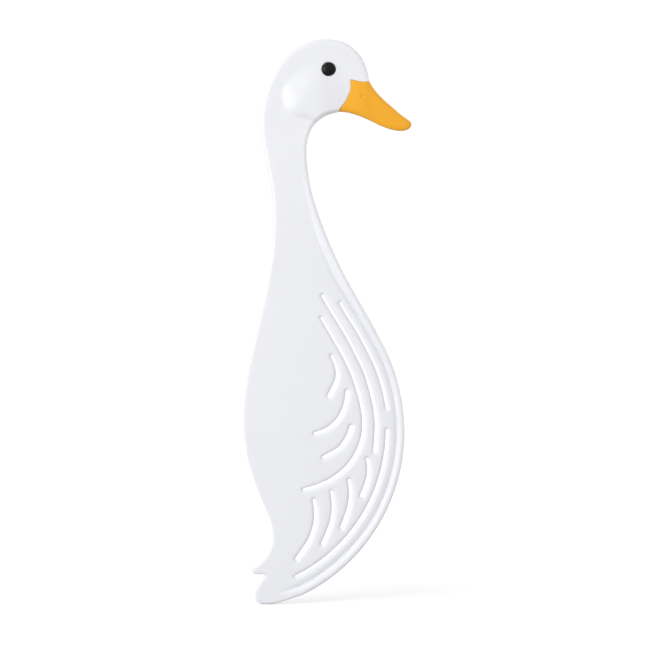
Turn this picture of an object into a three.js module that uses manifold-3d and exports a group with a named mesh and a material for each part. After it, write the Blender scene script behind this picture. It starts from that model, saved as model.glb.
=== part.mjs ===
// Goose pot strainer: a flat slotted wing plate whose round edge fits against the wall of a
// 22 cm pot, with the goose neck as the handle, an overmoulded bill and two bead eyes.
// Units are millimetres. The goose stands upright (+Z), faces +X, and its thickness is along Y.
// It is the same on both faces, so every thickness is given as half, measured from y = 0.
import * as THREE from 'three';
import { mergeVertices } from 'three/addons/utils/BufferGeometryUtils.js';
import Module from 'manifold-3d';

const wasm = await Module();
wasm.setup();

const clearance = 0.3;

const handleHalf = 4;
const bladeHalf = 2;
const edgeRound = 1.2;
// The face sinks evenly from handle to blade between these heights.
const rootTop = 245;
const rootBottom = 175;

// Front edge: a circular arc about rimCentre, with angles in degrees from +X.
const potRadius = 110;
const rimCentre = { x: -63, z: 104.5 };
const arcStart = -64;
const arcEnd = 28;
// The raised rim rises out of the blade under the tail, between two angles, and thickens to the
// handle's thickness between two heights.
const rimHalf = 3.3;
const rimWidth = 5.6;
const rimGone = -73;
const rimFull = -61;
const rimThickens = 140;
const rimThick = 190;
// Points of the tail and throat outlines that it follows.
const rimTailPoints = 6;
const rimThroatPoints = 15;

const slotWidth = 1.5;
// The long slot along the lower rim comes a little closer to the rim towards the shoulder.
const lowerSlotRadii = [99.2, 98.4];
const upperSlotRadius = 100.1;

const cheekCentre = { x: -10, z: 308 };
const cheekRadii = [20.5, 7.5, 16.5];

const eyeCentre = { x: 0.9, z: 322.4 };
const eyeRadius = 4.05;
const eyeDome = 1.7;
const eyeSeat = 0.7;
const pegRadius = 1.9;
const pegLength = 3;

const tongueHalf = 1.8;
const tongueWidth = 8;
const tongueRoot = { x: 6, z: 311.5 };
const tongueEnd = { x: 27, z: 300 };
const postCentre = { x: 22.5, z: 302.5 };
const postRadius = 1.7;

const billBaseHalf = 4.3;
const billTipHalf = 2.2;
const billBase = 14;
const billTip = 51;
const billRound = 1.6;

// Larger than the whole part in every direction.
const beyond = 400;

// Crown of the head, nape, back of the neck and wing, down to the curled tail feather.
const backPoints = [
  [25.5, 315], [24, 322.5], [19.6, 331.2], [11.6, 338], [0.8, 340.6], [-10.6, 339],
  [-21.7, 332.9], [-30.1, 323.4], [-36.1, 311.9], [-39.4, 297.9], [-39.7, 283.4],
  [-37.1, 267.1], [-33.9, 250.8], [-32.7, 233.9], [-33.2, 215.2], [-36.5, 192.3],
  [-42, 167], [-47.6, 142.8], [-51, 115.6], [-48.9, 90.3], [-41.6, 67.5],
  [-34.4, 49.9], [-33.2, 38.3], [-36.3, 29.4], [-40.8, 24.6], [-44.8, 21.5],
  [-45.4, 19.8], [-44.1, 18.2], [-41.4, 17.9], [-39, 18], [-37, 17],
];
// From the notch round the tail tip to the start of the rim arc.
const tailPoints = [
  [-37, 17], [-39.5, 14.5], [-41.9, 10.9], [-43.6, 6.6], [-42.8, 2.4], [-39.6, 0.3],
  [-35, 0], [-28.5, 1.2], [-21.7, 3.3],
];
// From the end of the rim arc up the front of the neck to the chin.
const throatPoints = [
  [29, 165.8], [24.3, 174.4], [15.9, 188.9], [8, 203.6], [1.2, 218.7], [-4.8, 234.3],
  [-9.6, 250.5], [-12, 267.1], [-11.7, 279], [-8.4, 288.2], [-1.8, 294.4], [6.9, 297.3],
];
// The line where the white head meets the bill: up from the chin, then along the top.
const chinPoints = [[6.9, 297.3], [9.4, 300.8], [12, 304.9], [13.8, 309.6], [14.2, 316.2]];
const browPoints = [[14.2, 316.2], [18.4, 315.2], [22, 314.7], [25.5, 315]];
// Free edge of the bill, from the brow round the tip to the chin, then back inside the head.
const billPoints = [
  [25.5, 315], [28.8, 310], [33.7, 304.7], [39.1, 299.9], [44.5, 295.2], [48.5, 292.4],
  [50.5, 290.6], [50.9, 288.7], [49.3, 286.8], [45.8, 285.6], [39.8, 286.1], [33, 288.4],
  [26.5, 291.5], [19.9, 294.5], [13, 296.6], [6.9, 297.3],
];
const billInside = [[3, 303], [12, 320], [23, 320]];

// Slot centre lines: feathers along the wing, curls under the shoulder, short tail feathers.
const upperRimSlot = [[8, 181.6], [13.3, 172.7], [18.4, 164.6], [22.8, 156.6]];
const slotLines = [
  [[-2.9, 186], [3.8, 174.9], [10.9, 163.3], [17.1, 151.6], [22.6, 140.2], [26.3, 128.7],
    [28.8, 117.3], [29.5, 105.9], [28.6, 92]],
  [[-3.4, 172.6], [4, 160], [11.1, 147.3], [16.6, 134.7], [20.3, 122.1], [22, 109.6],
    [20.2, 97.2], [13.6, 84.9], [4.3, 76.5], [-5, 71.8], [-14, 69]],
  [[2.7, 149.5], [4.7, 145.5], [5.8, 141], [5.8, 136.8], [4.5, 132.8], [0.9, 125.6]],
  [[12, 128.4], [11.3, 122.7], [9.3, 116.6], [6, 111], [0.2, 105.9], [-7.3, 102.9]],
  [[14.5, 107.3], [13, 102.8], [10.4, 98], [6.4, 93.4], [-2.3, 88.6]],
  [[-8, 62.9], [-7.2, 58.5], [-7, 52.8], [-8, 46.5], [-11, 38.4], [-18.6, 27.3]],
  [[2.7, 67.8], [3.5, 62.8], [3.6, 57.4], [2.8, 51.2], [0.4, 44], [-3.1, 36.1]],
  [[13.2, 74.6], [13.9, 70], [13.9, 64.3], [12.7, 57.3], [8.6, 46.1]],
  [[24.3, 87.6], [25.1, 82.8], [24.8, 77.8], [23.2, 71.9], [20.6, 65.4]],
];

const pair = ({ x, y }) => [x, y];
const flatPoint = ([x, z]) => new THREE.Vector2(x, z);

function smooth(points, samples) {
  const curve = new THREE.SplineCurve(points.map(flatPoint));
  return curve.getPoints(samples * (points.length - 1));
}

// An arc about the rim's centre whose radius may change evenly along it.
function arc(from, to, steps, startRadius, endRadius = startRadius) {
  const points = [];
  for (let i = 0; i <= steps; i += 1) {
    const angle = THREE.MathUtils.degToRad(THREE.MathUtils.lerp(from, to, i / steps));
    const radius = THREE.MathUtils.lerp(startRadius, endRadius, i / steps);
    const x = rimCentre.x + radius * Math.cos(angle);
    const z = rimCentre.z + radius * Math.sin(angle);
    points.push(new THREE.Vector2(x, z));
  }
  return points;
}

const rimEdge = arc(arcStart, arcEnd, 24, potRadius);
const tailEdge = smooth([...tailPoints, pair(rimEdge[0])], 2);
const throatEdge = smooth([pair(rimEdge[rimEdge.length - 1]), ...throatPoints], 2);

// A line beside `points`, `distance` to their left.
function parallel(points, distance) {
  return points.map((point, i) => {
    const before = points[Math.max(i - 1, 0)];
    const after = points[Math.min(i + 1, points.length - 1)];
    const along = after.clone().sub(before).normalize();
    return new THREE.Vector2(point.x - along.y * distance, point.y + along.x * distance);
  });
}

function bodyShape() {
  const back = smooth(backPoints, 3);
  const chin = smooth(chinPoints, 2);
  const brow = smooth(browPoints, 2);
  const loop = [back, tailEdge, rimEdge, throatEdge, chin, brow];
  return new THREE.Shape(loop.flatMap((run) => run.slice(1)));
}

// Half circle about `centre`, clockwise from `start`, without its two end points.
function roundEnd(centre, start, radius) {
  const first = Math.atan2(start.y - centre.y, start.x - centre.x);
  const steps = 4;
  const points = [];
  for (let i = 1; i < steps; i += 1) {
    const angle = first - (Math.PI * i) / steps;
    const x = centre.x + radius * Math.cos(angle);
    const y = centre.y + radius * Math.sin(angle);
    points.push(new THREE.Vector2(x, y));
  }
  return points;
}

// A slot is a channel of constant width with round ends along its centre line.
function slotPath(line) {
  const half = slotWidth / 2;
  const left = parallel(line, half);
  const right = parallel(line, -half).reverse();
  const far = roundEnd(line[line.length - 1], left[left.length - 1], half);
  const near = roundEnd(line[0], right[right.length - 1], half);
  return new THREE.Path([...left, ...far, ...right, ...near]);
}

function slottedShape() {
  const shape = bodyShape();
  shape.holes = slotPaths();
  return shape;
}

function slotPaths() {
  const lower = arc(0.3, -63.4, 16, ...lowerSlotRadii);
  const along = arc(arcEnd, 4, 5, upperSlotRadius);
  const upper = smooth([...upperRimSlot, ...along.map(pair)], 2);
  const others = slotLines.map((points) => smooth(points, 2));
  return [lower, upper, ...others].map(slotPath);
}

function solidOf(geometry) {
  geometry.deleteAttribute('normal');
  geometry.deleteAttribute('uv');
  const merged = mergeVertices(geometry, 1e-4);
  const vertProperties = new Float32Array(merged.attributes.position.array);
  const triVerts = new Uint32Array(merged.index.array);
  return new wasm.Manifold(new wasm.Mesh({ numProp: 3, vertProperties, triVerts }));
}

function geometryOf(solid) {
  const { vertProperties, triVerts } = solid.getMesh();
  const geometry = new THREE.BufferGeometry();
  geometry.setAttribute('position', new THREE.BufferAttribute(vertProperties, 3));
  geometry.setIndex(new THREE.BufferAttribute(triVerts, 1));
  return geometry;
}

// Extrudes a shape drawn in X and Z to y = ±half, with rounded edges inside its outline.
function slab(shape, half, round = edgeRound) {
  const roundDepth = 0.45 * half;
  const geometry = new THREE.ExtrudeGeometry(shape, {
    depth: 2 * (half - roundDepth),
    bevelThickness: roundDepth,
    bevelSize: round,
    bevelOffset: -round,
    bevelSegments: 2,
  });
  geometry.translate(0, 0, roundDepth - half);
  return geometry.rotateX(Math.PI / 2);
}

function prism(shape, half) {
  const geometry = new THREE.ExtrudeGeometry(shape, { depth: 2 * half, bevelEnabled: false });
  geometry.translate(0, 0, -half);
  return geometry.rotateX(Math.PI / 2);
}

// Scales the thickness at each point by `factor`, a function of x and z.
function thinned(geometry, factor) {
  const position = geometry.attributes.position;
  for (let i = 0; i < position.count; i += 1) {
    const scale = factor(position.getX(i), position.getZ(i));
    position.setY(i, position.getY(i) * scale);
  }
  return geometry;
}

function between(bottom, top) {
  const geometry = new THREE.BoxGeometry(beyond, beyond, top - bottom);
  return solidOf(geometry.translate(0, 0, (top + bottom) / 2));
}

// A round bar along Y, from y = start to y = end.
function bar({ x, z }, radius, start, end) {
  const geometry = new THREE.CylinderGeometry(radius, radius, Math.abs(end - start), 24);
  return solidOf(geometry.translate(x, (end + start) / 2, z));
}

// Head and neck at full thickness, and the root that thins evenly down to the blade.
function handle() {
  const full = solidOf(slab(slottedShape(), handleHalf));
  const slope = (1 - bladeHalf / handleHalf) / (rootTop - rootBottom);
  const root = geometryOf(full.intersect(between(rootBottom, rootTop)));
  const sunk = solidOf(thinned(root, (x, z) => 1 - (rootTop - z) * slope));
  return full.intersect(between(rootTop, beyond)).add(sunk);
}

function blade() {
  return solidOf(slab(slottedShape(), bladeHalf)).intersect(between(-beyond, rootBottom));
}

// The raised rim follows the front edge: it rises from the blade and runs on into the handle.
function rim() {
  const tail = tailEdge.slice(-1 - rimTailPoints, -1);
  const throat = throatEdge.slice(1, 1 + rimThroatPoints);
  const edge = [...tail, ...rimEdge, ...throat];
  const inner = parallel(edge, rimWidth).reverse();
  const height = (x, z) => {
    const angle = THREE.MathUtils.radToDeg(Math.atan2(z - rimCentre.z, x - rimCentre.x));
    const rise = THREE.MathUtils.smoothstep(angle, rimGone, rimFull);
    const thick = THREE.MathUtils.smoothstep(z, rimThickens, rimThick);
    const full = THREE.MathUtils.lerp(rimHalf, handleHalf, thick);
    return THREE.MathUtils.lerp(bladeHalf, full, rise) / handleHalf;
  };
  return solidOf(thinned(slab(new THREE.Shape([...edge, ...inner]), handleHalf), height));
}

// Both cheeks are one ellipsoid, trimmed to the head's outline.
function cheeks() {
  const geometry = new THREE.SphereGeometry(1, 32, 16).scale(...cheekRadii);
  const ellipsoid = solidOf(geometry.translate(cheekCentre.x, 0, cheekCentre.z));
  return ellipsoid.intersect(solidOf(prism(bodyShape(), beyond)));
}

// Flat tongue on the head that the bill is moulded around; `grow` adds to every side.
function tongue(grow) {
  const root = new THREE.Vector2(tongueRoot.x, tongueRoot.z);
  const end = new THREE.Vector2(tongueEnd.x, tongueEnd.z);
  end.add(end.clone().sub(root).setLength(grow));
  const left = parallel([root, end], tongueWidth / 2 + grow);
  const right = parallel([root, end], -tongueWidth / 2 - grow);
  return solidOf(prism(new THREE.Shape([...right, ...left.reverse()]), tongueHalf + grow));
}

function eyeSocket(side) {
  const seat = side * (handleHalf - eyeSeat);
  const floor = side * (handleHalf - pegLength - clearance);
  const mouth = bar(eyeCentre, eyeRadius + clearance, seat, side * beyond);
  return mouth.add(bar(eyeCentre, pegRadius + clearance, floor, side * handleHalf));
}

function body() {
  const moulding = handle().add(cheeks()).add(blade()).add(rim()).add(tongue(0));
  const lock = bar(postCentre, postRadius + clearance, -handleHalf, handleHalf);
  return moulding.subtract(lock).subtract(eyeSocket(-1)).subtract(eyeSocket(1));
}

// The blank runs on into the head, and the head's own outline trims it to the joint line.
function bill() {
  const blank = new THREE.Shape([...smooth(billPoints, 3), ...billInside.map(flatPoint)]);
  const slope = (1 - billTipHalf / billBaseHalf) / (billTip - billBase);
  const shell = thinned(slab(blank, billBaseHalf, billRound), (x) => 1 - (x - billBase) * slope);
  const head = prism(bodyShape(), 2 * handleHalf).translate(clearance, 0, -clearance);
  const post = bar(postCentre, postRadius, -tongueHalf - 1, tongueHalf + 1);
  return solidOf(shell).subtract(solidOf(head)).subtract(tongue(clearance)).add(post);
}

// Black bead with a peg, turned about Y: a low dome over a flat seat.
function eye(side) {
  const foot = handleHalf - pegLength;
  const seat = handleHalf - eyeSeat + clearance;
  const brim = handleHalf + 0.1;
  const profile = [[0, foot], [pegRadius, foot], [pegRadius, seat], [eyeRadius, seat]];
  const steps = 5;
  for (let i = 0; i < steps; i += 1) {
    const angle = (Math.PI / 2) * (i / steps);
    profile.push([eyeRadius * Math.cos(angle), brim + eyeDome * Math.sin(angle)]);
  }
  profile.push([0, brim + eyeDome]);
  const geometry = new THREE.LatheGeometry(profile.map(flatPoint), 24);
  if (side < 0) {
    geometry.rotateX(Math.PI);
  }
  return solidOf(geometry.translate(eyeCentre.x, 0, eyeCentre.z));
}

function plastic(color, roughness) {
  return new THREE.MeshStandardMaterial({ color, roughness, metalness: 0 });
}

function piece(name, solid, material) {
  const mesh = new THREE.Mesh(geometryOf(solid), material);
  mesh.name = name;
  return mesh;
}

const white = plastic(0xecedf0, 0.38);
const orange = plastic(0xf0a93c, 0.45);
const black = plastic(0x1c1c1f, 0.15);

const strainer = new THREE.Group();
strainer.add(piece('strainer_body', body(), white));
strainer.add(piece('bill', bill(), orange));
strainer.add(piece('right_eye', eye(-1), black));
strainer.add(piece('left_eye', eye(1), black));

export default strainer;
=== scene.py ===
# Looks of the goose pot strainer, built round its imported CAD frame.
import math

import bpy
import numpy as np
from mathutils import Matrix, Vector
from mathutils.geometry import delaunay_2d_cdt
from mathutils.kdtree import KDTree


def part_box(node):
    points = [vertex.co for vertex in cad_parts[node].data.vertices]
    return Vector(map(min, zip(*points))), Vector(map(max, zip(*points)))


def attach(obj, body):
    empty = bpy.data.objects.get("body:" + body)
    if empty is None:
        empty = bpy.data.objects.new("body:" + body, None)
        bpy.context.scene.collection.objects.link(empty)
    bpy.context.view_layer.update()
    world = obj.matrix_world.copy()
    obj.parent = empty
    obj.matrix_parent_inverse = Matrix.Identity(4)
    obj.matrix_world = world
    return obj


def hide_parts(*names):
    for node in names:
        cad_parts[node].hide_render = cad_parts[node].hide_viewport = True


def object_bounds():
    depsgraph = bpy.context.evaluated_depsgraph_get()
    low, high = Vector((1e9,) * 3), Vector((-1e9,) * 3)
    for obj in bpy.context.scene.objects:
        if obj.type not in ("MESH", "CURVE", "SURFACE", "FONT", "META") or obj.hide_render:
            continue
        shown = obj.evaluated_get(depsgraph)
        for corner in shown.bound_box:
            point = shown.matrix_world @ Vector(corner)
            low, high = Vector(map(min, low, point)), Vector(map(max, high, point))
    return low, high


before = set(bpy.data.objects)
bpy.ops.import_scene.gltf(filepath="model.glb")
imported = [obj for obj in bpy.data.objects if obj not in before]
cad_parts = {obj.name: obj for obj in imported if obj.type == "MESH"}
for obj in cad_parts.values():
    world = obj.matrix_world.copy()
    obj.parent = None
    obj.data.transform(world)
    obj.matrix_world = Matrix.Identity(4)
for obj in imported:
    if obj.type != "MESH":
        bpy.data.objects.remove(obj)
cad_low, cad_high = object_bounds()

# The drawing is in millimetres, as in the CAD: x forwards and z up, and every height is half
# the thickness there, measured from the plane between the two faces.
MM = 0.001

RIM_CENTRE = np.array([-63.0, 104.5])
RIM_RADIUS = 110.0
RIM_START, RIM_END = -64.0, 28.0
# Under the tail the rim rises between these angles, along the last points of the tail's edge.
RIM_GONE, RIM_FULL = -73.0, -61.0
RIM_TAIL_POINTS = 28
# How far in from the edge the rim is highest.
RIM_CREST = 1.8
# The raised rim at some angles about its centre: its height, its width, and how round its inner
# side is, from 1 on the wing to 0 for the plain slope that it turns into up the neck.
RIM_ANGLES = [-60, -46, -30, 0, 26, 39, 47, 54, 61, 66, 70]
RIM_HEIGHTS = [3.3, 3.3, 3.3, 3.3, 3.4, 3.8, 4.3, 4.5, 4.5, 4.5, 4.5]
RIM_WIDTHS = [5.45, 5.5, 5.1, 5.0, 4.7, 5.05, 5.6, 6.2, 6.0, 5.0, 4.1]
RIM_ROUNDNESS = [1, 1, 1, 1, 1, 1, 0.4, 0, 0, 0, 0]
# The slope's profile where it is plain and where it is round, as powers of the way down it.
RIM_PLAIN_POWER, RIM_ROUND_POWER = 1.15, 3
# The rim sinks into the handle between these heights, and the groove beside it ends before.
RIM_SINKS, RIM_SUNK = 225.0, 275.0
GROOVE_SINKS, GROOVE_SUNK = 185.0, 218.0
GROOVE_WIDTH = 3.0
GROOVE_DEPTH = 1.1

# The handle thins to the blade between these heights.
HANDLE_HEIGHT = 4.0
BLADE_HEIGHT = 2.0
ROOT_TOP, ROOT_BOTTOM = 245.0, 184.0

# Width and depth of the rounded edges. The rim's is as wide as its crest is far in.
BLADE_EDGE = (1.3, 1.1)
HANDLE_EDGE = (2.2, 2.0)
JOINT_EDGE = (0.4, 0.35)
BILL_EDGE = (2.6, 1.9)
RIM_EDGE_DEPTH = 1.9

SLOT_WIDTH = 1.4
# The two slots that run along the rim: radii and angles about its centre.
UPPER_SLOT_RADIUS = 100.1
UPPER_SLOT_END = 4.0
LOWER_SLOT_RADII = (99.2, 98.4)
LOWER_SLOT_ANGLES = (0.3, -63.4)
# The face dips to the slots: how deep, how wide on the side away from the light, and how wide on
# the lit side of the two slots along the rim. The other slots have their own lit widths.
LIP_DEPTH = 1.1
DARK_LIP = 2.0
RIM_SLOT_LIT_LIP = 1.4
# Round a slot's ends one side's lip turns into the other's. A point's side goes from -1 to 1,
# and this is how much of that the turn takes.
LIP_TURN = 1.2

CHEEK_PEAK = np.array([-11.5, 307.5])
CHEEK_HEIGHT = 2.85
# How far the cheek reaches from its peak, every 45 degrees from +X.
CHEEK_REACH = [26, 21, 17, 14.2, 15.2, 15.4, 15, 24]
# The heading at which its foot is crispest, how far round that fades, and the profile's powers.
CHEEK_CRISP = 235.0
CHEEK_FADE = 0.6
CHEEK_SOFT_POWER, CHEEK_CRISP_POWER = 1.9, 0.75
# How much fuller the profile gets straight below the peak.
CHEEK_FULLNESS = 3

EYE_CENTRE = np.array([0.9, 322.4])
EYE_RADIUS = 4.05
# Each eye sits in a round recess with a steep wall and a slightly rounded lip.
EYE_RECESS = 4.3
EYE_SEAT = 0.7
RECESS_WALL = 0.1
RECESS_LIP_WIDTH, RECESS_LIP_DEPTH = 0.4, 0.12
EYE_BRIM = HANDLE_HEIGHT + 0.05
EYE_DOME = 1.7

# Crown of the head, nape, back of the neck and wing, down to the curled tail feather.
BACK = [
    (25.5, 315), (24, 322.5), (19.6, 331.2), (11.6, 338), (0.8, 340.6), (-10.6, 339),
    (-21.7, 332.9), (-30.1, 323.4), (-36.1, 311.9), (-39.4, 297.9), (-39.7, 283.4),
    (-37.1, 267.1), (-33.9, 250.8), (-32.7, 233.9), (-33.2, 215.2), (-36.5, 192.3),
    (-42, 167), (-47.6, 142.8), (-51, 115.6), (-48.9, 90.3), (-41.6, 67.5),
    (-34.4, 49.9), (-33.2, 38.3), (-36.3, 29.4), (-40.8, 24.6), (-44.8, 21.5),
    (-45.4, 19.8), (-44.1, 18.2), (-41.4, 17.9), (-39, 18), (-37, 17),
]
# From the notch round the tail tip to the start of the rim arc.
TAIL = [
    (-37, 17), (-39.5, 14.5), (-41.9, 10.9), (-43.6, 6.6), (-42.8, 2.4), (-39.6, 0.3),
    (-35, 0), (-28.5, 1.2), (-21.7, 3.3),
]
# From the end of the rim arc up the front of the neck to the chin.
THROAT = [
    (29, 165.8), (24.3, 174.4), (15.9, 188.9), (8, 203.6), (1.2, 218.7), (-4.8, 234.3),
    (-9.6, 250.5), (-12, 267.1), (-11.7, 279), (-8.4, 288.2), (-1.8, 294.4), (6.9, 297.3),
]
# The line where the white head meets the bill: up from the chin, then along the top.
CHIN = [(6.9, 297.3), (9.4, 300.8), (12, 304.9), (13.8, 309.6), (14.2, 316.2)]
BROW = [(14.2, 316.2), (18.4, 315.2), (22, 314.7), (25.5, 315)]
# Free edge of the bill, from the brow round the tip to the chin.
BILL = [
    (25.5, 315), (28.8, 310), (33.7, 304.7), (39.1, 299.9), (44.5, 295.2), (48.5, 292.4),
    (50.5, 290.6), (50.9, 288.7), (49.3, 286.8), (45.8, 285.6), (39.8, 286.1), (33, 288.4),
    (26.5, 291.5), (19.9, 294.5), (13, 296.6), (6.9, 297.3),
]

# Slot centre lines, each with the width of the lip on its lit side.
UPPER_RIM_SLOT = [(8, 181.6), (13.3, 172.7), (18.4, 164.6), (22.8, 156.6)]
SLOTS = [
    (2.1, [(-2.9, 186), (3.8, 174.9), (10.9, 163.3), (17.1, 151.6), (22.6, 140.2),
           (26.3, 128.7), (28.8, 117.3), (29.5, 105.9), (28.6, 92)]),
    (2.2, [(-3.4, 172.6), (4, 160), (11.1, 147.3), (16.6, 134.7), (20.3, 122.1),
           (22, 109.6), (20.2, 97.2), (13.6, 84.9), (4.3, 76.5), (-5, 71.8), (-14, 69)]),
    (2.4, [(2.7, 149.5), (4.7, 145.5), (5.8, 141), (5.8, 136.8), (4.5, 132.8), (0.9, 125.6)]),
    (2.4, [(12, 128.4), (11.3, 122.7), (9.3, 116.6), (6, 111), (0.2, 105.9), (-7.3, 102.9)]),
    (2.4, [(14.5, 107.3), (13, 102.8), (10.4, 98), (6.4, 93.4), (-2.3, 88.6)]),
    (2.4, [(-8, 62.9), (-7.2, 58.5), (-7, 52.8), (-8, 46.5), (-11, 38.4), (-18.6, 27.3)]),
    (2.4, [(2.7, 67.8), (3.5, 62.8), (3.6, 57.4), (2.8, 51.2), (0.4, 44), (-3.1, 36.1)]),
    (2.4, [(13.2, 74.6), (13.9, 70), (13.9, 64.3), (12.7, 57.3), (8.6, 46.1)]),
    (2.4, [(24.3, 87.6), (25.1, 82.8), (24.8, 77.8), (23.2, 71.9), (20.6, 65.4)]),
]


def spline(points, per_span=12):
    """The smooth line through the points that the CAD's outlines follow."""
    given = np.array(points, float)
    padded = np.vstack([given[:1], given, given[-1:]])
    t = np.linspace(0, 1, per_span, endpoint=False)[:, None]
    runs = []
    for a, b, c, d in zip(padded, padded[1:], padded[2:], padded[3:]):
        leave = (c - a) / 2
        arrive = (d - b) / 2
        cubic = 2 * b - 2 * c + leave + arrive
        square = -3 * b + 3 * c - 2 * leave - arrive
        runs.append(cubic * t**3 + square * t**2 + leave * t + b)
    return np.vstack([*runs, given[-1:]])


def rim_arc(start_radius, end_radius, start, end):
    """An arc about the rim's centre whose radius may change evenly along it."""
    steps = np.linspace(0, 1, 90)
    radius = start_radius + (end_radius - start_radius) * steps
    angle = np.radians(start + (end - start) * steps)
    return RIM_CENTRE + radius[:, None] * np.column_stack([np.cos(angle), np.sin(angle)])


def evenly(line, spacing):
    """The same line with points about `spacing` apart; its two ends stay."""
    along = np.concatenate([[0], np.cumsum(np.linalg.norm(np.diff(line, axis=0), axis=1))])
    wanted = np.linspace(0, along[-1], max(round(along[-1] / spacing), 1) + 1)
    return np.column_stack([np.interp(wanted, along, line[:, k]) for k in (0, 1)])


def left_of(line, distance, closed=False):
    """The line moved to its left by a distance, or by one distance for each point."""
    before = np.roll(line, 1, axis=0)
    after = np.roll(line, -1, axis=0)
    if not closed:
        before[0] = line[0]
        after[-1] = line[-1]
    along = after - before
    along /= np.linalg.norm(along, axis=1)[:, None]
    normal = np.column_stack([-along[:, 1], along[:, 0]])
    return line + normal * np.reshape(distance, (-1, 1))


def batches(points, size):
    """The points in runs of about `size`, so that what is worked out from each stays small."""
    return np.array_split(points, len(points) // size + 1)


def nearest(points, line, closed=False):
    """Distance from each point to the line, where its foot is, counted in line points, and
    how squarely it lies to the left (1) or right (-1) of the line there."""
    start = line if closed else line[:-1]
    end = np.roll(line, -1, axis=0) if closed else line[1:]
    span = end - start
    length = np.linalg.norm(span, axis=1)
    distances, feet, sides = [], [], []
    for some in batches(points, 1500):
        away = some[:, None, :] - start
        t = np.clip((away * span).sum(axis=2) / length**2, 0, 1)
        gap = away - t[:, :, None] * span
        gap_length = np.linalg.norm(gap, axis=2)
        best = gap_length.argmin(axis=1)
        row = np.arange(len(some))
        close = gap[row, best]
        along = span[best] / length[best][:, None]
        distance = gap_length[row, best]
        cross = along[:, 0] * close[:, 1] - along[:, 1] * close[:, 0]
        distances.append(distance)
        feet.append(best + t[row, best])
        sides.append(cross / np.maximum(distance, 1e-9))
    return np.concatenate(distances), np.concatenate(feet), np.concatenate(sides)


def inside(points, loops):
    """True where a point is enclosed by an odd number of the closed loops."""
    start = np.vstack(loops)
    end = np.vstack([np.roll(loop, -1, axis=0) for loop in loops])
    rise = end[:, 1] - start[:, 1]
    slope = (end[:, 0] - start[:, 0]) / np.where(rise == 0, 1, rise)
    answers = []
    for some in batches(points, 4000):
        x, z = some[:, :1], some[:, 1:]
        spans = (start[:, 1] > z) != (end[:, 1] > z)
        left = x < start[:, 0] + (z - start[:, 1]) * slope
        answers.append((spans & left).sum(axis=1) % 2 == 1)
    return np.concatenate(answers)


def smoothstep(value):
    t = np.clip(value, 0, 1)
    return t * t * (3 - 2 * t)


def mix(a, b, share):
    return a + (b - a) * share


def quarter_round(t):
    """Rises from 0 to 1 like a rounded edge, as t goes from 0 at the edge to 1."""
    return np.sqrt(1 - (1 - np.clip(t, 0, 1)) ** 2)


def blur(values, times):
    """The values round a closed loop, each averaged with its two neighbours so many times."""
    for _ in range(times):
        values = (np.roll(values, 1) + values + np.roll(values, -1)) / 3
    return values


# ---------------------------------------------------------------- outlines

# How far apart the outlines' points are.
EDGE_SPACING = 0.85
JOINT_SPACING = 0.6
BILL_SPACING = 0.7
SLOT_SPACING = 0.8
# Keeps the smooth edges inside the CAD's faceted ones.
INSET = 0.04

rim_edge = rim_arc(RIM_RADIUS, RIM_RADIUS, RIM_START, RIM_END)
throat_edge = spline([rim_edge[-1], *THROAT])
front_edge = evenly(np.vstack([rim_edge, throat_edge[1:]]), EDGE_SPACING)
tail_edge = evenly(spline([*TAIL, tuple(front_edge[0])]), EDGE_SPACING)
# The rim follows the front edge and starts under the tail.
rim_line = np.vstack([tail_edge[-RIM_TAIL_POINTS:-1], front_edge])


def body_outline():
    """The body's outline, and for each point the width and depth of its rounded edge."""
    runs = [
        (evenly(spline(BACK), EDGE_SPACING), "free"),
        (tail_edge, "front"),
        (front_edge, "front"),
        (evenly(spline(CHIN), JOINT_SPACING), "joint"),
        (evenly(spline(BROW), JOINT_SPACING), "joint"),
    ]
    points, widths, depths = [], [], []
    for run, kind in runs:
        run = run[:-1]
        if kind == "joint":
            width = np.full(len(run), JOINT_EDGE[0])
            depth = np.full(len(run), JOINT_EDGE[1])
        else:
            level = plate_height(run[:, 1])
            thick = (level - BLADE_HEIGHT) / (HANDLE_HEIGHT - BLADE_HEIGHT)
            width = mix(BLADE_EDGE[0], HANDLE_EDGE[0], thick)
            depth = mix(BLADE_EDGE[1], HANDLE_EDGE[1], thick)
        if kind == "front":
            raised = rim_share(run)
            width = mix(width, RIM_CREST, raised)
            depth = mix(depth, RIM_EDGE_DEPTH, raised)
        points.append(run)
        widths.append(width)
        depths.append(depth)
    widths = blur(np.concatenate(widths), 4)
    depths = blur(np.concatenate(depths), 4)
    return left_of(np.vstack(points), INSET, closed=True), widths, depths


def plate_height(z):
    """Half thickness of the flat face: the blade's below, the handle's above."""
    return mix(BLADE_HEIGHT, HANDLE_HEIGHT, smoothstep((z - ROOT_BOTTOM) / (ROOT_TOP - ROOT_BOTTOM)))


def rim_share(points):
    """How much of the raised rim there is at each point: it sinks away towards both ends."""
    tail = smoothstep((rim_angle(points) - RIM_GONE) / (RIM_FULL - RIM_GONE))
    return tail * smoothstep((RIM_SUNK - points[:, 1]) / (RIM_SUNK - RIM_SINKS))


def rim_angle(points):
    offset = points - RIM_CENTRE
    return np.degrees(np.arctan2(offset[:, 1], offset[:, 0]))


def slot_lines():
    """Centre line of each slot, with the width of the lip on its lit side."""
    lower = rim_arc(*LOWER_SLOT_RADII, *LOWER_SLOT_ANGLES)
    along = rim_arc(UPPER_SLOT_RADIUS, UPPER_SLOT_RADIUS, RIM_END, UPPER_SLOT_END)
    upper = spline([*UPPER_RIM_SLOT, *along[::15]])
    lines = [(RIM_SLOT_LIT_LIP, lower), (RIM_SLOT_LIT_LIP, upper)]
    lines += [(lit_lip, spline(points)) for lit_lip, points in SLOTS]
    return [(lit_lip, evenly(line, SLOT_SPACING)) for lit_lip, line in lines]


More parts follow.
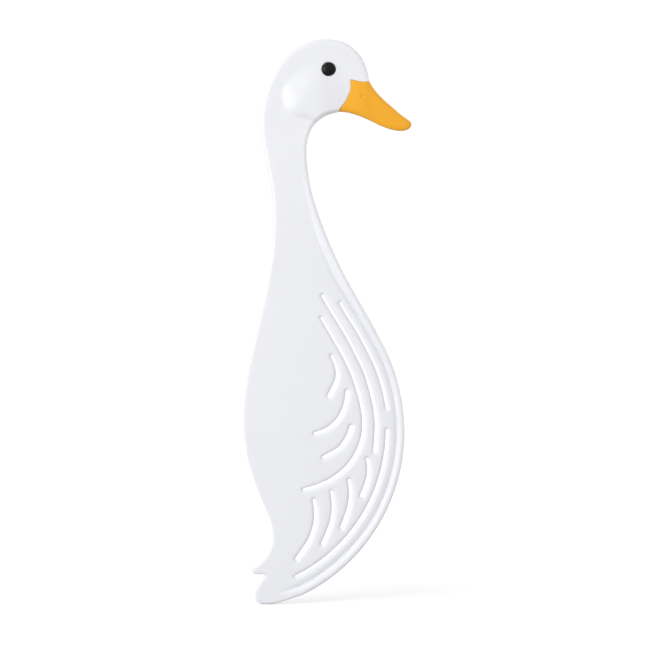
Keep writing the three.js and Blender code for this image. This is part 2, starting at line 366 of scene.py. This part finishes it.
def slot_loop(line):
    """Outline of a slot: both sides of its centre line, joined by round ends."""
    half = SLOT_WIDTH / 2
    steps = 6
    left = left_of(line, half)
    right = left_of(line, -half)[::-1]
    ends = []
    for centre, start in ((line[-1], left[-1]), (line[0], right[-1])):
        first = math.atan2(*(start - centre)[::-1])
        angles = first - np.pi * np.arange(1, steps) / steps
        ends.append(centre + half * np.column_stack([np.cos(angles), np.sin(angles)]))
    return np.vstack([left, ends[0], right, ends[1]])


# ---------------------------------------------------------------- relief of the white body

outline, edge_width, edge_depth = body_outline()
slots = slot_lines()


def edge_drop(points, loop, widths, depths):
    """How far the rounded edge of a loop lowers the face at each point."""
    distance, foot, _ = nearest(points, loop, closed=True)
    width = np.interp(foot, np.arange(len(loop) + 1), [*widths, widths[0]])
    depth = np.interp(foot, np.arange(len(loop) + 1), [*depths, depths[0]])
    return depth * (1 - quarter_round(distance / width))


def cheek(points):
    """The cheek: a dome with a crisp foot at the lower left that melts away at the upper right."""
    away = points - CHEEK_PEAK
    heading = np.degrees(np.arctan2(away[:, 1], away[:, 0])) % 360
    turns = [(45 * i, CHEEK_REACH[i % 8]) for i in range(-1, 10)]
    reach = spline(turns)
    u = np.linalg.norm(away, axis=1) / np.interp(heading, reach[:, 0], reach[:, 1])
    towards = np.cos(np.radians(heading - CHEEK_CRISP))
    crisp = smoothstep((towards + CHEEK_FADE) / (2 * CHEEK_FADE))
    power = mix(CHEEK_SOFT_POWER, CHEEK_CRISP_POWER, crisp)
    below = np.clip(-np.sin(np.radians(heading)), 0, 1)
    return CHEEK_HEIGHT * np.clip(1 - u ** (2 + CHEEK_FULLNESS * below**2), 0, 1) ** power


def with_groove(height, points, rim_foot, share):
    """The face's height with the hollow that runs along the foot of the rim."""
    fade = smoothstep((GROOVE_SUNK - points[:, 1]) / (GROOVE_SUNK - GROOVE_SINKS))
    profile = (1 - np.clip(rim_foot / GROOVE_WIDTH, 0, 1)) ** 2
    return height - GROOVE_DEPTH * (share * fade) * profile


def with_lips(height, points):
    """The face's height with the dip towards each slot."""
    height = height.copy()
    reach = 6
    for lit_lip, line in slots:
        near = np.flatnonzero(box_gap(points, line) < reach)
        if len(near) == 0:
            continue
        distance, _, side = nearest(points[near], line)
        gap = distance - SLOT_WIDTH / 2
        lit = smoothstep(side / LIP_TURN + 0.5)
        width = mix(DARK_LIP, lit_lip, lit)
        height[near] -= LIP_DEPTH * (1 - np.clip(gap / width, 0, 1)) ** 2
    return height


def with_rim(height, angle, front, rim_width, share):
    """The face's height with the raised rim, which slopes down from its crest."""
    down = np.clip((front - RIM_CREST) / (rim_width - RIM_CREST), 0, 1)
    roundness = np.interp(angle, RIM_ANGLES, RIM_ROUNDNESS)
    bead = mix(1 - down**RIM_PLAIN_POWER, 1 - down**RIM_ROUND_POWER, roundness)
    rim_height = np.interp(angle, RIM_ANGLES, RIM_HEIGHTS)
    return height + np.maximum(rim_height - height, 0) * share * bead


def with_eye_recess(height, points):
    """The face's height with the round recess that an eye sits in."""
    from_eye = np.linalg.norm(points - EYE_CENTRE, axis=1)
    floor = HANDLE_HEIGHT - EYE_SEAT
    wall = smoothstep((from_eye - EYE_RECESS + 0.02) / RECESS_WALL)
    lip = RECESS_LIP_DEPTH * (1 - quarter_round((from_eye - EYE_RECESS) / RECESS_LIP_WIDTH))
    return np.where(from_eye < EYE_RECESS + 2, mix(floor, height - lip, wall), height)


def body_height(points):
    """Half thickness of the white body at each point of its face."""
    front, foot, _ = nearest(points, rim_line)
    share = rim_share(points)
    angle = np.interp(foot, np.arange(len(rim_line)), rim_angle(rim_line))
    rim_width = np.interp(angle, RIM_ANGLES, RIM_WIDTHS)
    height = plate_height(points[:, 1])
    height = with_groove(height, points, front - rim_width, share)
    height = with_lips(height, points)
    height = with_rim(height, angle, front, rim_width, share)
    height = height - edge_drop(points, outline, edge_width, edge_depth)
    height = height + cheek(points)
    return with_eye_recess(height, points)


def box_gap(points, line):
    """Distance from each point to the box round a line."""
    low, high = line.min(axis=0), line.max(axis=0)
    beyond = np.maximum(np.maximum(low - points, points - high), 0)
    return np.linalg.norm(beyond, axis=1)


# ---------------------------------------------------------------- meshing

# Of a row beside a boundary, the points nearer to any boundary than this share of the row's
# depth are left out.
ROW_CLEARANCE = 0.96
# The fill grid keeps this share of its spacing from the points already placed.
FILL_CLEARANCE = 0.62


def grid(loop, spacing):
    """Points of an even triangular grid over the loop's box."""
    low, high = loop.min(axis=0), loop.max(axis=0)
    rows = np.arange(low[1], high[1], spacing * math.sqrt(0.75))
    columns = np.arange(low[0], high[0], spacing)
    shift = (np.arange(len(rows)) % 2) * spacing / 2
    x = columns[None, :] + shift[:, None]
    z = np.repeat(rows[:, None], len(columns), axis=1)
    return np.column_stack([x.ravel(), z.ravel()])


def edge_gap(points, boundaries):
    """Distance from each point to the closest of the boundary loops."""
    gap = np.full(len(points), np.inf)
    for loop in boundaries:
        reach = box_gap(points, loop)
        near = np.flatnonzero(reach < gap)
        if len(near):
            gap[near] = np.minimum(gap[near], nearest(points[near], loop, closed=True)[0])
    return gap


def triangulate(boundaries, rows, guides, spacing):
    """Points and triangles of a face. Each boundary loop has rows of points beside it at the
    given depths, guides are further lines of points that keep some room to the boundaries, and
    a grid fills the rest."""
    everything = [np.vstack(boundaries)]
    edges = []
    first = 0
    for loop in boundaries:
        count = len(loop)
        edges += [(first + i, first + (i + 1) % count) for i in range(count)]
        first += count
    for loop, depths in zip(boundaries, rows):
        for depth in depths:
            row = left_of(loop, depth, closed=True)
            gap = edge_gap(row, boundaries)
            kept = (gap > ROW_CLEARANCE * np.abs(depth)) & inside(row, boundaries)
            everything.append(row[kept])
    for line, room in guides:
        kept = (edge_gap(line, boundaries) > room) & inside(line, boundaries)
        everything.append(line[kept])
    fill = grid(boundaries[0], spacing)
    fill = fill[inside(fill, boundaries)]
    placed = np.vstack(everything)
    placed = np.vstack([placed, spread(placed, fill, FILL_CLEARANCE * spacing)])
    coordinates = [Vector(point) for point in placed]
    points, _, triangles, _, _, _ = delaunay_2d_cdt(coordinates, edges, [], 0, 1e-7)
    points = np.array([tuple(point) for point in points])
    triangles = np.array([tuple(triangle) for triangle in triangles])
    middle = points[triangles].mean(axis=1)
    triangles = triangles[inside(middle, boundaries)]
    return points, triangles


def spread(placed, fill, room):
    """The points of `fill` that have at least `room` to the nearest placed point."""
    tree = KDTree(len(placed))
    for index, (x, z) in enumerate(placed):
        tree.insert((x, z, 0), index)
    tree.balance()
    return np.array([point for point in fill if tree.find((*point, 0))[2] > room])


def two_faced(name, points, triangles, heights, material):
    """A closed mesh from one face: the face, its mirror image, and a wall round each edge."""
    count = len(points)
    front = np.column_stack([points[:, 0], -heights, points[:, 1]])
    back = front * (1, -1, 1)
    a, b, c = (points[triangles[:, k]] for k in range(3))
    area = (b - a)[:, 0] * (c - a)[:, 1] - (b - a)[:, 1] * (c - a)[:, 0]
    flipped = area < 0
    triangles[flipped] = triangles[flipped][:, ::-1]
    sides = dict.fromkeys(
        (corners[i], corners[(i + 1) % 3])
        for corners in triangles.tolist()
        for i in range(3)
    )
    # A side that only one triangle has is on a boundary.
    walls = []
    for start, end in sides:
        if (end, start) not in sides:
            walls.append((end, start, start + count, end + count))
    faces = triangles.tolist() + (triangles[:, ::-1] + count).tolist() + walls
    vertices = np.vstack([front, back]) * MM + place
    mesh = bpy.data.meshes.new(name)
    mesh.from_pydata(vertices.tolist(), [], faces)
    mesh.validate()
    mesh.shade_smooth()
    mesh.materials.append(material)
    piece = bpy.data.objects.new(name, mesh)
    bpy.context.collection.objects.link(piece)
    return piece


# ---------------------------------------------------------------- materials


def shader_tree(owner):
    """Empties the owner's node tree and gives the function that adds a node to it. An input is
    given as a value or as the output socket that feeds it."""
    owner.use_nodes = True
    tree = owner.node_tree
    tree.nodes.clear()

    def node(kind, inputs=None, **settings):
        made = tree.nodes.new(kind)
        for key, value in settings.items():
            setattr(made, key, value)
        for key, value in (inputs or {}).items():
            if isinstance(value, bpy.types.NodeSocket):
                tree.links.new(value, made.inputs[key])
            else:
                made.inputs[key].default_value = value
        return made

    return node


def plastic(name, light, dark, roughness, grain, subsurface=0.0, specular=0.5):
    """Moulded plastic: faint flow marks in the colour, uneven gloss and a fine skin."""
    material = bpy.data.materials.new(name)
    node = shader_tree(material)
    position = node("ShaderNodeTexCoord").outputs["Object"]
    clouds = node("ShaderNodeTexNoise", {"Vector": position, "Scale": 28.0, "Detail": 3.0})
    tone = node("ShaderNodeMix", {"Factor": clouds.outputs["Fac"]}, data_type="RGBA")
    tone.inputs["A"].default_value = (*dark, 1)
    tone.inputs["B"].default_value = (*light, 1)
    patches = node("ShaderNodeTexNoise", {"Vector": position, "Scale": 160.0, "Detail": 4.0})
    gloss = node("ShaderNodeMapRange", {
        "Value": patches.outputs["Fac"],
        "From Min": 0.3,
        "From Max": 0.7,
        "To Min": roughness - 0.05,
        "To Max": roughness + 0.06,
    })
    skin = node("ShaderNodeTexNoise", {"Vector": position, "Scale": 1400.0, "Detail": 2.0})
    bump = node("ShaderNodeBump", {
        "Height": skin.outputs["Fac"],
        "Strength": grain,
        "Distance": 0.00004,
    })
    shader = node("ShaderNodeBsdfPrincipled", {
        "Base Color": tone.outputs["Result"],
        "Roughness": gloss.outputs["Result"],
        "Normal": bump.outputs["Normal"],
        "IOR": 1.49,
        "Subsurface Weight": subsurface,
        "Subsurface Radius": (1, 1, 1),
        "Specular IOR Level": specular,
        "Subsurface Scale": 0.001,
    })
    node("ShaderNodeOutputMaterial", {"Surface": shader.outputs["BSDF"]})
    return material


white = plastic(
    "white_plastic",
    light=(0.86, 0.865, 0.90),
    dark=(0.835, 0.842, 0.882),
    roughness=0.36,
    grain=0.35,
    subsurface=0.08,
)
orange = plastic(
    "orange_plastic",
    light=(0.95, 0.445, 0.012),
    dark=(0.90, 0.40, 0.007),
    roughness=0.40,
    grain=0.35,
)
black = plastic(
    "black_plastic",
    light=(0.006, 0.006, 0.007),
    dark=(0.004, 0.004, 0.005),
    roughness=0.25,
    grain=0.1,
    specular=0.2,
)

# ---------------------------------------------------------------- the white body

# Where the drawing's origin is in the frame, found from the eye that the CAD places.
eye_low, eye_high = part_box("right_eye")
eye_middle = (eye_low + eye_high) / 2
place = np.array([
    eye_middle.x - EYE_CENTRE[0] * MM,
    (cad_low.y + cad_high.y) / 2,
    eye_middle.z - EYE_CENTRE[1] * MM,
])

# Depths of the rows of points along the edges: shares of a rounded edge's width, distances
# from a slot, and distances from the foot of the rim.
EDGE_ROWS = [0.012, 0.05, 0.12, 0.24, 0.42, 0.68, 1.0]
SLOT_ROWS = [0.012, 0.05, 0.13, 0.27, 0.5, 0.85, 1.3, 1.9]
FOOT_ROWS = [-2.2, -1.5, -0.9, -0.5, -0.2, -0.05, 0.05, 0.2, 0.5, 0.9, 1.5, 2.3, 3.2]
# Rings of points about the eye's recess, as distances from its wall.
RECESS_RINGS = [-0.04, 0.06, 0.2, 0.5]
# How far the lines along the foot and the rings keep from the outline and the slots.
FOOT_ROOM, RING_ROOM = 1.4, 1.0
RING_POINTS = 56
# Spacing of the grid that fills the rest.
BODY_GRID = 1.35


def circle(centre, radius, count):
    angle = np.linspace(0, 2 * np.pi, count, endpoint=False)
    return centre + radius * np.column_stack([np.cos(angle), np.sin(angle)])


def body_guides():
    """Lines of points along the creases that the edges' own rows don't follow."""
    guides = []
    width = np.interp(rim_angle(rim_line), RIM_ANGLES, RIM_WIDTHS)
    for beyond in FOOT_ROWS:
        guides.append((left_of(rim_line, width + beyond), FOOT_ROOM))
    for beyond in RECESS_RINGS:
        guides.append((circle(EYE_CENTRE, EYE_RECESS + beyond, RING_POINTS), RING_ROOM))
    return guides


def make_body():
    boundaries = [outline, *(clockwise(slot_loop(line)) for _, line in slots)]
    rows = [[edge_width * share for share in EDGE_ROWS], *([SLOT_ROWS] * len(slots))]
    points, triangles = triangulate(boundaries, rows, body_guides(), BODY_GRID)
    return two_faced("goose_body", points, triangles, body_height(points), white)


def clockwise(loop):
    """The loop run clockwise, so that the material round a hole is on its left."""
    following = np.roll(loop, -1, axis=0)
    turning = (loop[:, 0] * following[:, 1] - following[:, 0] * loop[:, 1]).sum()
    return loop if turning < 0 else loop[::-1]


body = make_body()

# ---------------------------------------------------------------- bill

# Half thickness of the bill at some distances along X.
BILL_ALONG = [6, 14, 18, 22, 27, 33, 42, 52]
BILL_HEIGHTS = [3.9, 4.15, 4.3, 4.15, 3.5, 3.1, 2.8, 2.4]
# The rounded edge gets shallower towards the tip, which starts here.
TIP_START, TIP_LENGTH = 30, 20
TIP_SHARE = 0.75
NOSTRIL = np.array([21.4, 305.8])
NOSTRIL_RADIUS = 1.3
NOSTRIL_DEPTH = 0.55
# Radius and number of points of the rings about the nostril.
NOSTRIL_RINGS = [(0.35, 8), (0.75, 14), (1.15, 20)]
NOSTRIL_ROOM = 0.5
BILL_GRID = 0.9


def bill_outline():
    """The bill's outline, and for each point the width and depth of its rounded edge."""
    free = evenly(spline(BILL), BILL_SPACING)[:-1]
    chin = evenly(spline(CHIN), JOINT_SPACING)[:-1]
    brow = evenly(spline(BROW), JOINT_SPACING)[:-1]
    points = np.vstack([free, chin, brow])[::-1]
    joint = np.concatenate([np.zeros(len(free)), np.ones(len(chin) + len(brow))])[::-1]
    joint = blur(joint, 3)
    width = mix(BILL_EDGE[0], JOINT_EDGE[0], joint)
    depth = mix(BILL_EDGE[1], JOINT_EDGE[1], joint)
    tip = smoothstep((points[:, 0] - TIP_START) / TIP_LENGTH)
    depth = mix(depth, depth * TIP_SHARE, tip)
    return left_of(points, INSET, closed=True), width, depth


bill_loop, bill_width, bill_depth = bill_outline()


def bill_height(points):
    """Half thickness of the bill at each point of its face."""
    height = np.interp(points[:, 0], BILL_ALONG, BILL_HEIGHTS)
    height = height - edge_drop(points, bill_loop, bill_width, bill_depth)
    from_nostril = np.linalg.norm(points - NOSTRIL, axis=1)
    return height - NOSTRIL_DEPTH * (1 - smoothstep(from_nostril / NOSTRIL_RADIUS))


def make_bill():
    guides = [(circle(NOSTRIL, radius, count), NOSTRIL_ROOM) for radius, count in NOSTRIL_RINGS]
    rows = [[bill_width * share for share in EDGE_ROWS]]
    points, triangles = triangulate([bill_loop], rows, guides, BILL_GRID)
    return two_faced("goose_bill", points, triangles, bill_height(points), orange)


bill = make_bill()

# ---------------------------------------------------------------- eyes

# The bead's foot is rounded by this much, and its dome is a little fuller than an ellipse.
FOOT_ROUND = 0.25
DOME_POWER = 0.85
DOME_RINGS = 12


def eye_profile():
    """Radius and height of the bead's rings, from its foot to just below its top."""
    seat = HANDLE_HEIGHT - EYE_SEAT
    profile = [
        (EYE_RADIUS - FOOT_ROUND, seat),
        (EYE_RADIUS - 0.06, seat + 0.07),
        (EYE_RADIUS, seat + FOOT_ROUND),
    ]
    for angle in np.linspace(0, np.pi / 2, DOME_RINGS, endpoint=False):
        radius = EYE_RADIUS * math.cos(angle) ** DOME_POWER
        profile.append((radius, EYE_BRIM + EYE_DOME * math.sin(angle)))
    return profile


def make_eye(name, side):
    """A bead turned about Y: a brim inside its recess and a low dome. Side is -1 for the front
    face and 1 for the back face."""
    profile = eye_profile()
    around = 64
    vertices = []
    for radius, height in profile:
        ring = circle(EYE_CENTRE, radius, around)
        vertices += [(x, side * height, z) for x, z in ring]
    faces = []
    for ring in range(len(profile) - 1):
        for i in range(around):
            a = ring * around + i
            b = ring * around + (i + 1) % around
            faces.append((a, b, b + around, a + around))
    top = len(vertices)
    vertices.append((EYE_CENTRE[0], side * (EYE_BRIM + EYE_DOME), EYE_CENTRE[1]))
    last = top - around
    faces += [(last + i, last + (i + 1) % around, top) for i in range(around)]
    faces.append(tuple(reversed(range(around))))
    if side > 0:
        faces = [face[::-1] for face in faces]
    mesh = bpy.data.meshes.new(name)
    mesh.from_pydata((np.array(vertices) * MM + place).tolist(), [], faces)
    mesh.shade_smooth()
    mesh.materials.append(black)
    piece = bpy.data.objects.new(name, mesh)
    bpy.context.collection.objects.link(piece)
    return piece


eyes = {"right_eye": make_eye("eye_bead_right", -1), "left_eye": make_eye("eye_bead_left", 1)}

PARTS = [
    (body, "strainer_body", "white_plastic"),
    (bill, "bill", "orange_plastic"),
    (eyes["right_eye"], "right_eye", "black_plastic"),
    (eyes["left_eye"], "left_eye", "black_plastic"),
]
for piece, node_name, slot_name in PARTS:
    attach(piece, "root")
    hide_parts(node_name)

# ---------------------------------------------------------------- studio

# What the camera sees behind everything: just over plain white.
BACKGROUND = 1.05
# The way to the brightest part of the tent.
FRONT = Vector((0, -1.0, 0.1)).normalized()


def make_world():
    """A white tent, brighter on the camera's side; the camera itself sees plain white."""
    studio = bpy.data.worlds.new("studio")
    node = shader_tree(studio)
    bpy.context.scene.world = studio
    direction = node("ShaderNodeTexCoord").outputs["Generated"]
    facing = node("ShaderNodeVectorMath", {0: direction, 1: tuple(FRONT)}, operation="DOT_PRODUCT")
    strength = node("ShaderNodeMapRange", {
        "Value": facing.outputs["Value"],
        "From Min": -0.6,
        "From Max": 1.0,
        "To Min": 0.66,
        "To Max": 0.79,
    }, interpolation_type="SMOOTHSTEP")
    tent = node("ShaderNodeBackground", {
        "Color": (1, 1, 1, 1),
        "Strength": strength.outputs["Result"],
    })
    plain = node("ShaderNodeBackground", {"Color": (1, 1, 1, 1), "Strength": BACKGROUND})
    seen = node("ShaderNodeLightPath").outputs["Is Camera Ray"]
    both = node("ShaderNodeMixShader", {0: seen, 1: tent.outputs[0], 2: plain.outputs[0]})
    node("ShaderNodeOutputWorld", {"Surface": both.outputs[0]})


def make_floor():
    """A wide pale floor. It glows a little, and more further out, so that it fades into the
    white background. It lights the goose less than it shows, as a small floor would."""
    reach = 5.0
    corners = [(-reach, -reach, 0), (reach, -reach, 0), (reach, reach, 0), (-reach, reach, 0)]
    mesh = bpy.data.meshes.new("floor")
    mesh.from_pydata(corners, [], [(0, 1, 2, 3)])
    material = bpy.data.materials.new("floor_paper")
    node = shader_tree(material)
    paper = node("ShaderNodeBsdfDiffuse", {"Color": (0.9, 0.9, 0.9, 1)})
    position = node("ShaderNodeTexCoord").outputs["Object"]
    away = node("ShaderNodeVectorMath", {0: position}, operation="LENGTH")
    fade = node("ShaderNodeMapRange", {
        "Value": away.outputs["Value"],
        "From Min": 0.1,
        "From Max": 0.6,
        "To Min": 0.23,
        "To Max": 0.7,
    })
    glow = node("ShaderNodeEmission", {"Color": (1, 1, 1, 1), "Strength": fade.outputs["Result"]})
    bright = node("ShaderNodeAddShader", {0: paper.outputs[0], 1: glow.outputs[0]})
    dim = node("ShaderNodeBsdfDiffuse", {"Color": (0.6, 0.6, 0.6, 1)})
    seen = node("ShaderNodeLightPath").outputs["Is Camera Ray"]
    both = node("ShaderNodeMixShader", {0: seen, 1: dim.outputs[0], 2: bright.outputs[0]})
    node("ShaderNodeOutputMaterial", {"Surface": both.outputs[0]})
    mesh.materials.append(material)
    floor = bpy.data.objects.new("floor", mesh)
    floor.location.z = cad_low.z
    bpy.context.collection.objects.link(floor)


def softbox(name, location, target, size, power):
    """A square soft light that faces its target."""
    light = bpy.data.lights.new(name, "AREA")
    light.shape = "SQUARE"
    light.size = size
    light.energy = power
    lamp = bpy.data.objects.new(name, light)
    lamp.location = location
    lamp.rotation_mode = "QUATERNION"
    lamp.rotation_quaternion = (Vector(target) - lamp.location).to_track_quat("-Z", "Y")
    bpy.context.collection.objects.link(lamp)


def make_camera():
    """Level with the middle of the goose, square to its face, through a long lens."""
    middle = (cad_low + cad_high) / 2
    # The goose sits slightly right of the picture's middle and slightly above it.
    target = middle + Vector((-1.3, 0, -1.9)) * MM
    distance = 1.25
    # How much the picture takes in at the goose.
    picture_width = 0.3924
    data = bpy.data.cameras.new("camera")
    data.sensor_width = 36
    data.lens = data.sensor_width * distance / picture_width
    camera = bpy.data.objects.new("camera", data)
    camera.location = target + Vector((0, -distance, 0))
    camera.rotation_euler = (math.pi / 2, 0, 0)
    bpy.context.collection.objects.link(camera)
    bpy.context.scene.camera = camera


make_world()
make_floor()
softbox("key_softbox", (-1.02, -1.03, 0.45), target=(0, 0, 0.17), size=1.0, power=11.7)
softbox("edge_softbox", (1.1, 0.5, 0.05), target=(0, 0, 0.1), size=0.8, power=11)
make_camera()
bpy.context.scene.view_settings.view_transform = "Standard"
